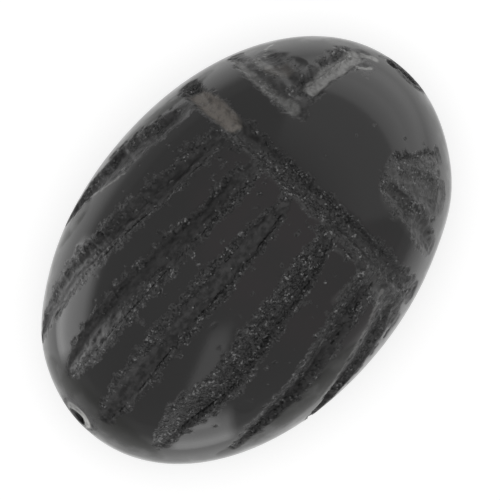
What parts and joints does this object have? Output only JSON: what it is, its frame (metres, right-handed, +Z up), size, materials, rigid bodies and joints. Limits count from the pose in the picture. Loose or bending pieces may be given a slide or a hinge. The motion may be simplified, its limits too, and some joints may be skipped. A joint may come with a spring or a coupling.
{
  "type": "scarab seal",
  "caption": "Beetle-shaped stamp seal of polished black stone: a domed back scored with grooves, a waisted foot, a flat engraved sealing face and a lengthwise stringing hole.",
  "frame": {"origin": "middle of the flat sealing face that the seal rests on", "axes": "+Y from the beetle's tail to its head, +Z up out of the domed back, +X to the beetle's right"},
  "size_m": [0.0118, 0.017, 0.0078],
  "materials": {
    "black_stone": "polished, with rough unpolished grooves"
  },
  "bodies": {
    "root": {"scarab_seal": "black_stone"}
  },
  "joints": []
}
